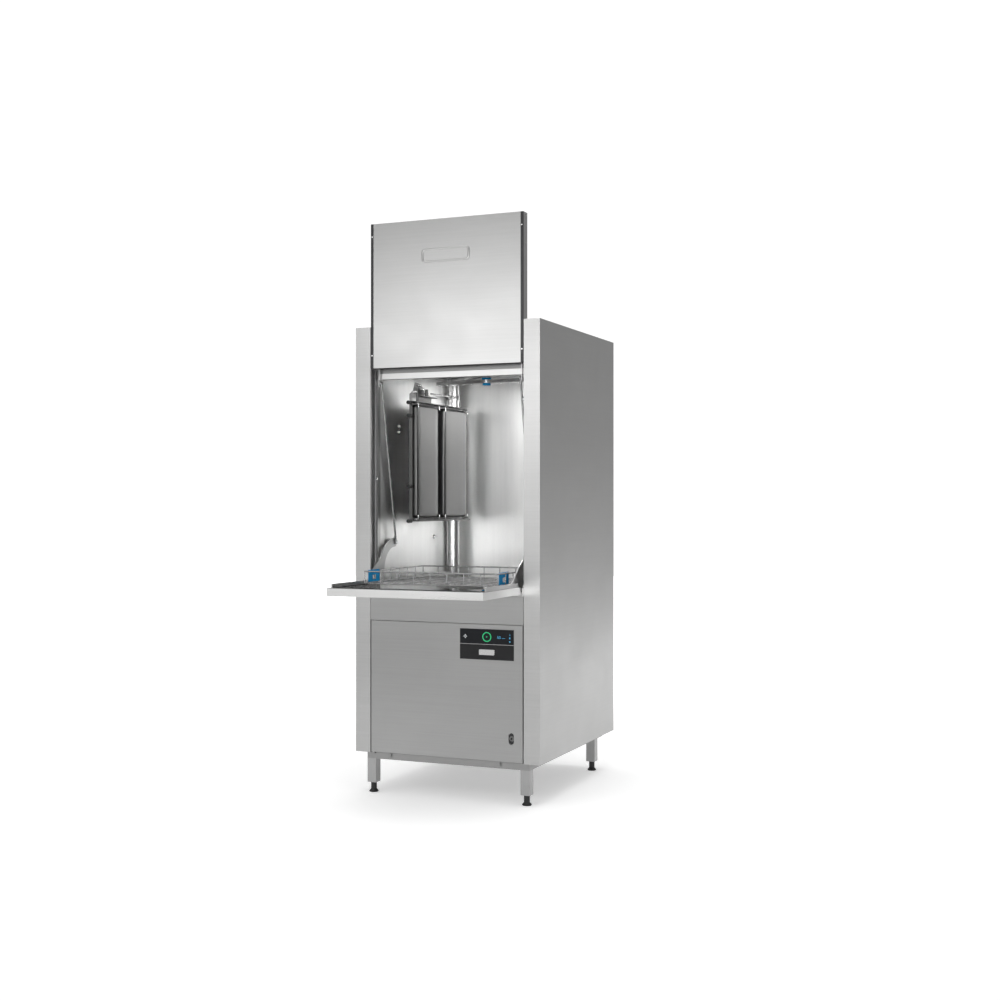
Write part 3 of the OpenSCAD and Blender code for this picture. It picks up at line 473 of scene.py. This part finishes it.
def soften(obj, width_mm):
    """Rounds the sharp edges a little."""
    mod = obj.modifiers.new("edge", "BEVEL")
    mod.width = width_mm * MM
    mod.segments = 2
    mod.limit_method = "ANGLE"
    mod.angle_limit = math.radians(50)
    mod.use_clamp_overlap = True


def dress_frame():
    for name, obj in nodes.items():
        obj.data.materials.clear()
        obj.data.materials.append(MATS[NODE_MATS[name]])
        if name in EDGE_MM:
            soften(obj, EDGE_MM[name])


dress_frame()


# ---- pieces --------------------------------------------------------------------------------

def place_at(x, y, z, out="-y"):
    """A matrix that puts a shape's +Z along the named direction at a point given in metres."""
    turns = {"-y": ("X", 90), "+y": ("X", -90), "+x": ("Y", 90), "-x": ("Y", -90),
             "+z": ("X", 0)}
    axis, angle = turns[out]
    return Matrix.Translation((x, y, z)) @ Matrix.Rotation(math.radians(angle), 4, axis)


def lathe(bm, profile, at, steps=24):
    """Turns (radius, height) pairs about +Z into a closed skin."""
    rings = []
    for r, h in profile:
        if r == 0:
            rings.append([bm.verts.new(at @ Vector((0, 0, h)))])
        else:
            rings.append(loop(bm, circle(r, steps), at, h))
    for low, high in zip(rings, rings[1:]):
        for i in range(steps):
            j = (i + 1) % steps
            a = low[i % len(low)], low[j % len(low)]
            b = high[j % len(high)], high[i % len(high)]
            corners = list(dict.fromkeys(a + b))
            if len(corners) > 2:
                bm.faces.new(corners)


def plate(bm, outline, at, depth):
    """A flat shape of (x, y) points with thickness along +Z."""
    low, high = loop(bm, outline, at), loop(bm, outline, at, depth)
    bm.faces.new(low[::-1])
    bm.faces.new(high)
    bridge(bm, [low, high])


def rounded(w, h, r, steps=6):
    """Outline of a rectangle with rounded corners."""
    points = []
    for cx, cy, start in ((w / 2 - r, h / 2 - r, 0), (-w / 2 + r, h / 2 - r, 90),
                          (-w / 2 + r, -h / 2 + r, 180), (w / 2 - r, -h / 2 + r, 270)):
        for i in range(steps + 1):
            a = math.radians(start + 90 * i / steps)
            points.append((cx + r * math.cos(a), cy + r * math.sin(a)))
    return points


def piece(name, bm, mat, body, edge_mm=0.0, smooth=False):
    """Makes the finished skin a named piece that rides on a body."""
    bmesh.ops.recalc_face_normals(bm, faces=bm.faces)
    mesh = bpy.data.meshes.new(name)
    bm.to_mesh(mesh)
    bm.free()
    mesh.materials.append(MATS[mat])
    if smooth:
        mesh.shade_smooth()
        mesh.set_sharp_from_angle(angle=math.radians(40))
    obj = bpy.data.objects.new(name, mesh)
    bpy.context.scene.collection.objects.link(obj)
    if edge_mm:
        soften(obj, edge_mm)
    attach(obj, body)
    return obj


def screw_profile(r, h):
    """A pan head with a round socket in it."""
    socket = 0.42 * r
    return [(0, 0.35 * h), (socket, 0.35 * h), (socket, h), (0.7 * r, h), (0.93 * r, 0.8 * h),
            (r, 0.45 * h), (r, 0)]


def screws(name, places, out, body, r=0.0045, h=0.0025):
    bm = bmesh.new()
    for p in places:
        lathe(bm, screw_profile(r, h), place_at(*p, out=out))
    piece(name, bm, "bright", body, smooth=True)


def bolts(name, places, out, body, r):
    """Hexagon heads on washers."""
    washer_r, washer_t, hexagon = r * 1.75, 0.0012, 6
    bm = bmesh.new()
    for p in places:
        at = place_at(*p, out=out)
        lathe(bm, [(0, washer_t), (r * 1.7, washer_t), (washer_r, washer_t / 2), (washer_r, 0)], at)
        lathe(bm, [(0, washer_t + r), (r * 0.85, washer_t + r), (r, 0.0008 + 0.8 * r), (r, 0.001)],
              at, hexagon)
    piece(name, bm, "wire", body)


def rod(bm, points, r, steps=12):
    """A round bar through a list of points."""
    rings = []
    for i, p in enumerate(points):
        a = Vector(points[max(i - 1, 0)])
        b = Vector(points[min(i + 1, len(points) - 1)])
        turn = (b - a).to_track_quat("Z", "Y").to_matrix().to_4x4()
        rings.append(loop(bm, circle(r, steps), Matrix.Translation(p) @ turn))
    bridge(bm, rings)
    bm.faces.new(rings[0][::-1])
    bm.faces.new(rings[-1])


SIGN_LIFT = 0.00025   # printed and lit signs stand this far off the glass


def start_ring():
    """Green ring round the start button, with a small arrowhead in it."""
    low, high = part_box("start_button")
    at = place_at((low.x + high.x) / 2, low.y, (low.z + high.z) / 2)
    ring_out, ring_in = 0.0185, 0.0150
    bm = bmesh.new()
    lathe(bm, [(ring_in, 0), (ring_in, SIGN_LIFT), (ring_out, SIGN_LIFT), (ring_out, 0),
               (ring_in, 0)], at, steps=64)
    plate(bm, [(-0.0028, -0.0030), (0.0034, 0.0), (-0.0028, 0.0030)], at, SIGN_LIFT)
    piece("start_ring", bm, "green", "start_button")


def power_sign():
    """A cross of four petals."""
    low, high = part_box("power_button")
    at = place_at((low.x + high.x) / 2, low.y, (low.z + high.z) / 2)
    petal = ((0.0014, 0), (0.0044, -0.0021), (0.0078, 0), (0.0044, 0.0021))
    bm = bmesh.new()
    for c, s in ((1, 0), (0, 1), (-1, 0), (0, -1)):
        plate(bm, [(x * c - y * s, x * s + y * c) for x, y in petal], at, SIGN_LIFT)
    piece("power_sign", bm, "white", "power_button")


def display_digits():
    """Two digits of lit bars, and three dashes for the unit."""
    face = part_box("display_glass")[0].y
    start_low, start_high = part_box("start_button")
    middle = (start_low.z + start_high.z) / 2
    first_x, digit_step, dash_x, dash_step = 0.222, 0.0075, 0.240, 0.0046
    digit_h, digit_w, bar = 0.0085, 0.0050, 0.0011
    # each bar's side (-1 left, 1 right), height (-1 foot, 1 head) and whether it lies flat
    bars = {"top": (0, 1, True), "mid": (0, 0, True), "low": (0, -1, True),
            "tl": (-1, 0.5, False), "tr": (1, 0.5, False), "bl": (-1, -0.5, False),
            "br": (1, -0.5, False)}
    six, nought = ("tl", "bl", "top", "mid", "low", "br"), ("tl", "tr", "bl", "br", "top", "low")
    bm = bmesh.new()
    for k, lit_bars in enumerate((six, nought)):
        for key in lit_bars:
            side, height, flat = bars[key]
            cx = first_x + k * digit_step + side * digit_w / 2
            cz = middle - 0.0005 + height * digit_h / 2
            w, h = (digit_w * 0.8, bar) if flat else (bar, digit_h * 0.40)
            plate(bm, rounded(w, h, bar * 0.45, 2), place_at(cx, face, cz), SIGN_LIFT)
    for k in range(3):
        plate(bm, rounded(0.0034, 0.0012, 0.0004, 2),
              place_at(dash_x + k * dash_step, face, middle - 0.0035), SIGN_LIFT)
    piece("display_digits", bm, "cyan", "service_door")


def display_signs():
    """A dot, a drop and a small fan of bars, one above the other at the right."""
    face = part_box("display_glass")[0].y
    x, dot_z, drop_z, fan_z = 0.2705, 0.6205, 0.6340, 0.6450
    dot_r, bar_gap = 0.0026, 0.0022
    drop = [(0, 0.0046), (-0.0026, 0), (-0.0016, -0.003), (0.0016, -0.003), (0.0026, 0)]
    bm = bmesh.new()
    lathe(bm, [(0, SIGN_LIFT), (dot_r, SIGN_LIFT), (dot_r, 0)], place_at(x, face, dot_z), steps=20)
    plate(bm, drop, place_at(x, face, drop_z), SIGN_LIFT)
    for k in range(3):
        plate(bm, rounded(0.0040 - k * 0.001, 0.0010, 0.0004, 2),
              place_at(x, face, fan_z + k * bar_gap), SIGN_LIFT)
    piece("display_signs", bm, "cyan", "service_door")


def display_trims():
    """The blank silver plate and the fine line between the display's two halves."""
    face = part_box("display_housing")[0].y
    middle_x, badge_z, line_z = 0.175, 0.577, 0.6075
    bm = bmesh.new()
    plate(bm, rounded(0.064, 0.021, 0.003), place_at(middle_x, face + 0.0002, badge_z), 0.0008)
    piece("display_badge", bm, "bright", "service_door", edge_mm=0.3)
    bm = bmesh.new()
    plate(bm, rounded(0.2235, 0.0012, 0.0003, 2), place_at(middle_x, face + 0.0003, line_z), 0.0006)
    piece("display_trim", bm, "bright", "service_door")


start_ring()
power_sign()
display_digits()
display_signs()
display_trims()


def slot_reach(angle, r, straight):
    """Distance from an upright slot's middle to its outline."""
    c, s = abs(math.cos(angle)), abs(math.sin(angle))
    if c > 0.01 and r / c * s <= straight:
        return r / c
    return straight * s + math.sqrt(r * r - straight * straight * c * c)


def lock_recess():
    """Dark lining of the slot in the service panel, with a hole for the lock."""
    lock_low, lock_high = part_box("panel_lock")
    at = place_at((lock_low.x + lock_high.x) / 2, FRONT_Y + 0.0059, 0.253)
    hole, slot_r, straight, thick, steps = 0.0098, 0.0102, 0.011, 0.0005, 64
    turns = [2 * math.pi * i / steps for i in range(steps)]
    slot = [(slot_reach(a, slot_r, straight) * math.cos(a),
             slot_reach(a, slot_r, straight) * math.sin(a)) for a in turns]
    bore = circle(hole, steps)
    bm = bmesh.new()
    back_edge, back_bore = loop(bm, slot, at), loop(bm, bore, at)
    front_edge, front_bore = loop(bm, slot, at, thick), loop(bm, bore, at, thick)
    bridge(bm, [back_edge, front_edge, front_bore, back_bore, back_edge])
    piece("lock_recess", bm, "black", "service_door")


lock_recess()


def chamber_pieces():
    """Bolts in the side walls, two clips on the jambs and a knob on the right jamb."""
    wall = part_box("chamber_rear_wall")
    left_x, right_x = wall[0].x, wall[1].x
    front_y, middle_y, low_z, high_z, bolt_r = -0.030, 0.300, 1.000, 1.560, 0.0055
    bolts("wall_bolts", [(left_x, front_y, 1.462), (left_x, front_y, 1.438),
                         (left_x, middle_y, low_z), (left_x, middle_y, high_z)],
          "+x", "cabinet", bolt_r)
    bolts("wall_bolts_right", [(right_x, middle_y, low_z), (right_x, middle_y, high_z),
                               (right_x, front_y, 1.450)], "-x", "cabinet", bolt_r)
    jamb_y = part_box("chamber_jambs")[0].y
    clip_x, clip_z, clip_t = 0.3225, 1.243, 0.0015
    bm = bmesh.new()
    for side in (-1, 1):
        plate(bm, rounded(0.007, 0.010, 0.001), place_at(side * clip_x, jamb_y, clip_z), clip_t)
    piece("jamb_clips", bm, "bright", "cabinet", edge_mm=0.3)
    knob = [(0, 0.016), (0.006, 0.016), (0.0085, 0.013), (0.0085, 0.006), (0.005, 0.004),
            (0.005, 0)]
    bm = bmesh.new()
    lathe(bm, knob, place_at(right_x + 0.001, jamb_y + 0.008, 1.545, "-x"))
    piece("jamb_knob", bm, "bright", "cabinet", smooth=True)


chamber_pieces()


def insert_stay(face, stay_z):
    """A bent bar from the holder to a clamp ring round the riser."""
    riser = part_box("wash_manifold")
    riser_x, riser_y, clamp_z = riser[0].x + 0.025, riser[1].y - 0.025, stay_z + 0.010
    ring_in, ring_out, ring_half = 0.0252, 0.0290, 0.009
    bm = bmesh.new()
    rod(bm, [(face + 0.012, 0.080, stay_z), (face + 0.012, 0.250, stay_z),
             (face, 0.350, stay_z + 0.004), (riser_x + 0.022, riser_y - 0.018, clamp_z)], 0.0035)
    lathe(bm, [(ring_in, -ring_half), (ring_out, -ring_half), (ring_out, ring_half),
               (ring_in, ring_half), (ring_in, -ring_half)],
          place_at(riser_x, riser_y, clamp_z, "+z"), steps=40)
    piece("insert_stay", bm, "wire", "cabinet", smooth=True)


def insert_knobs(face):
    """Four knobs and pins of the holder's latch, at (y, z) and with their radius."""
    bm = bmesh.new()
    for y, z, r in ((-0.030, 1.626, 0.006), (0.000, 1.612, 0.007), (0.040, 1.598, 0.005),
                    (-0.075, 1.597, 0.005)):
        lathe(bm, [(0, 0.020), (r * 0.8, 0.020), (r, 0.017), (r, 0.008), (r * 0.5, 0.006),
                   (r * 0.5, 0)], place_at(face, y, z, "+x"), steps=18)
    piece("insert_knobs", bm, "bright", "cabinet", smooth=True)


def insert_gusset(face):
    """The flat shaped plate behind the latch, in (y, z) above its foot."""
    foot_z, thick = 1.558, 0.0016
    outline = [(-0.092, 0.0), (0.110, 0.0), (0.110, 0.030), (0.066, 0.042), (0.010, 0.076),
               (-0.020, 0.080), (-0.042, 0.080), (-0.060, 0.046), (-0.092, 0.030)]
    upright = Matrix(((0, 0, 1, face - 0.0017), (1, 0, 0, 0), (0, 1, 0, foot_z), (0, 0, 0, 1)))
    bm = bmesh.new()
    plate(bm, outline, upright, thick)
    piece("insert_gusset", bm, "base", "cabinet", edge_mm=0.3)


PAN_WIDTHS = (0.206, 0.236)   # front pan, rear pan


def tray_hooks(low, high):
    """Wire hooks over the corners of both pans."""
    inset, wire_r = 0.004, 0.0022
    bm = bmesh.new()
    for y in (low.y + inset, low.y + PAN_WIDTHS[0] - inset, high.y - PAN_WIDTHS[1] + inset,
              high.y - inset):
        for z, inward in ((low.z + inset, 1), (high.z - inset, -1)):
            rod(bm, [(high.x - 0.020, y, z - inward * 0.006),
                     (high.x + 0.003, y, z - inward * 0.004),
                     (high.x + 0.004, y, z + inward * 0.012)], wire_r, steps=10)
    piece("tray_hooks", bm, "bright", "cabinet", smooth=True)


def insert_pieces():
    """The holder's latch, its stay to the riser and the hooks at the trays' corners."""
    tray_low, tray_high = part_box("insert_trays")
    face = tray_low.x  # the plate's face, where the trays stand on it
    insert_stay(face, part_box("insert_frame")[1].z - 0.018)
    insert_knobs(face)
    insert_gusset(face)
    tray_hooks(tray_low, tray_high)


insert_pieces()


def insert_pans():
    """The two shallow pans of the insert, drawn with rounded edges and a flat rim."""
    low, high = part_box("insert_trays")
    depth, tall, mid_z = high.x - low.x, high.z - low.z, (low.z + high.z) / 2
    edge, rim, rim_t, corner, arc_steps = 0.011, 0.0045, 0.0020, 0.016, 6
    # (inset from the outline, height off the plate) from the rim to the pan's floor
    section = [(0.0, 0.0), (0.0, 0.0016), (rim, rim_t)]
    for i in range(arc_steps + 1):
        a = math.radians(90 * i / arc_steps)
        section.append((rim + edge * (1 - math.cos(a)), depth - edge + edge * math.sin(a)))
    section.append((rim + edge + 0.03, depth))
    bm = bmesh.new()
    for y, wide in zip((low.y, high.y - PAN_WIDTHS[1]), PAN_WIDTHS):
        upright = Matrix(((0, 0, 1, low.x), (1, 0, 0, y + wide / 2), (0, 1, 0, mid_z),
                          (0, 0, 0, 1)))
        loops = [loop(bm, rounded(wide - 2 * inset, tall - 2 * inset,
                                  max(corner - inset * 0.3, 0.004)), upright, out)
                 for inset, out in section]
        bridge(bm, loops)
        bm.faces.new(loops[0][::-1])
        bm.faces.new(loops[-1])
    pans = piece("insert_pans", bm, "tray", "cabinet", smooth=True)
    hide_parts("insert_trays")


insert_pans()


def door_details():
    """The blank raised rim on the door, and a dark strip on the lintel that the door slides past:
    painted shade where the door's shadow falls.
    """
    door_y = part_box("upper_door_outer_skin")[0].y
    badge_z, badge_lift = 2.109, 0.0026
    at = place_at(0, door_y + 0.0002, badge_z)
    bm = bmesh.new()
    bridge(bm, [loop(bm, outline, at, lift) for outline, lift in (
        (rounded(0.204, 0.056, 0.014), 0.0), (rounded(0.198, 0.050, 0.012), badge_lift),
        (rounded(0.192, 0.044, 0.010), badge_lift), (rounded(0.186, 0.038, 0.008), 0.0))])
    piece("door_badge_rim", bm, "sheet_x", "upper_door", smooth=True)
    lintel_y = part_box("header_panel")[0].y
    shade_strip_z, shade_strip_t = 1.6695, 0.0016
    bm = bmesh.new()
    # painted shade: a dark strip set back on the lintel where the door's shadow falls
    plate(bm, rounded(0.634, 0.017, 0.002, 3), place_at(0, lintel_y + 0.0055, shade_strip_z), shade_strip_t)
    piece("door_shade_strip", bm, "shade_strip", "cabinet", edge_mm=0.4)


door_details()


def outer_pieces():
    """Clips on the chassis, screws in the back, door and roof, and the back sheet's seam."""
    chassis_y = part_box("chassis_frame")[0].y
    bm = bmesh.new()
    for x in (-0.244, 0.224):
        plate(bm, rounded(0.006, 0.016, 0.0015), place_at(x, chassis_y + 0.0002, 0.1505), 0.0016)
    piece("chassis_clips", bm, "base", "cabinet", edge_mm=0.3)
    rear_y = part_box("rear_panel")[1].y
    screws("rear_screws", [(x, rear_y, z) for x in (-0.355, 0.0, 0.355)
                           for z in (0.185, 0.60, 1.05, 1.45, 1.815)], "+y", "cabinet")
    bm = bmesh.new()
    plate(bm, rounded(0.774, 0.0012, 0.0004, 2), place_at(0, rear_y - 0.0002, 1.02, "+y"), 0.0010)
    piece("rear_seam", bm, "frame", "cabinet")
    door_low, door_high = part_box("upper_door_outer_skin")
    screw_x, from_end = 0.3197, 0.05
    screws("door_screws", [(side * screw_x, door_low.y - 0.0004, z) for side in (-1, 1)
                           for z in (door_low.z + from_end, door_high.z - from_end)],
           "-y", "upper_door", r=0.0032, h=0.0010)
    roof_z, sunk_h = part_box("roof_panel")[1].z, 0.0012
    screws("roof_screws", [(x, y, roof_z - sunk_h) for x in (-0.36, 0.36)
                           for y in (-0.12, 0.20, 0.58)], "+z", "cabinet", r=0.004, h=sunk_h)


outer_pieces()
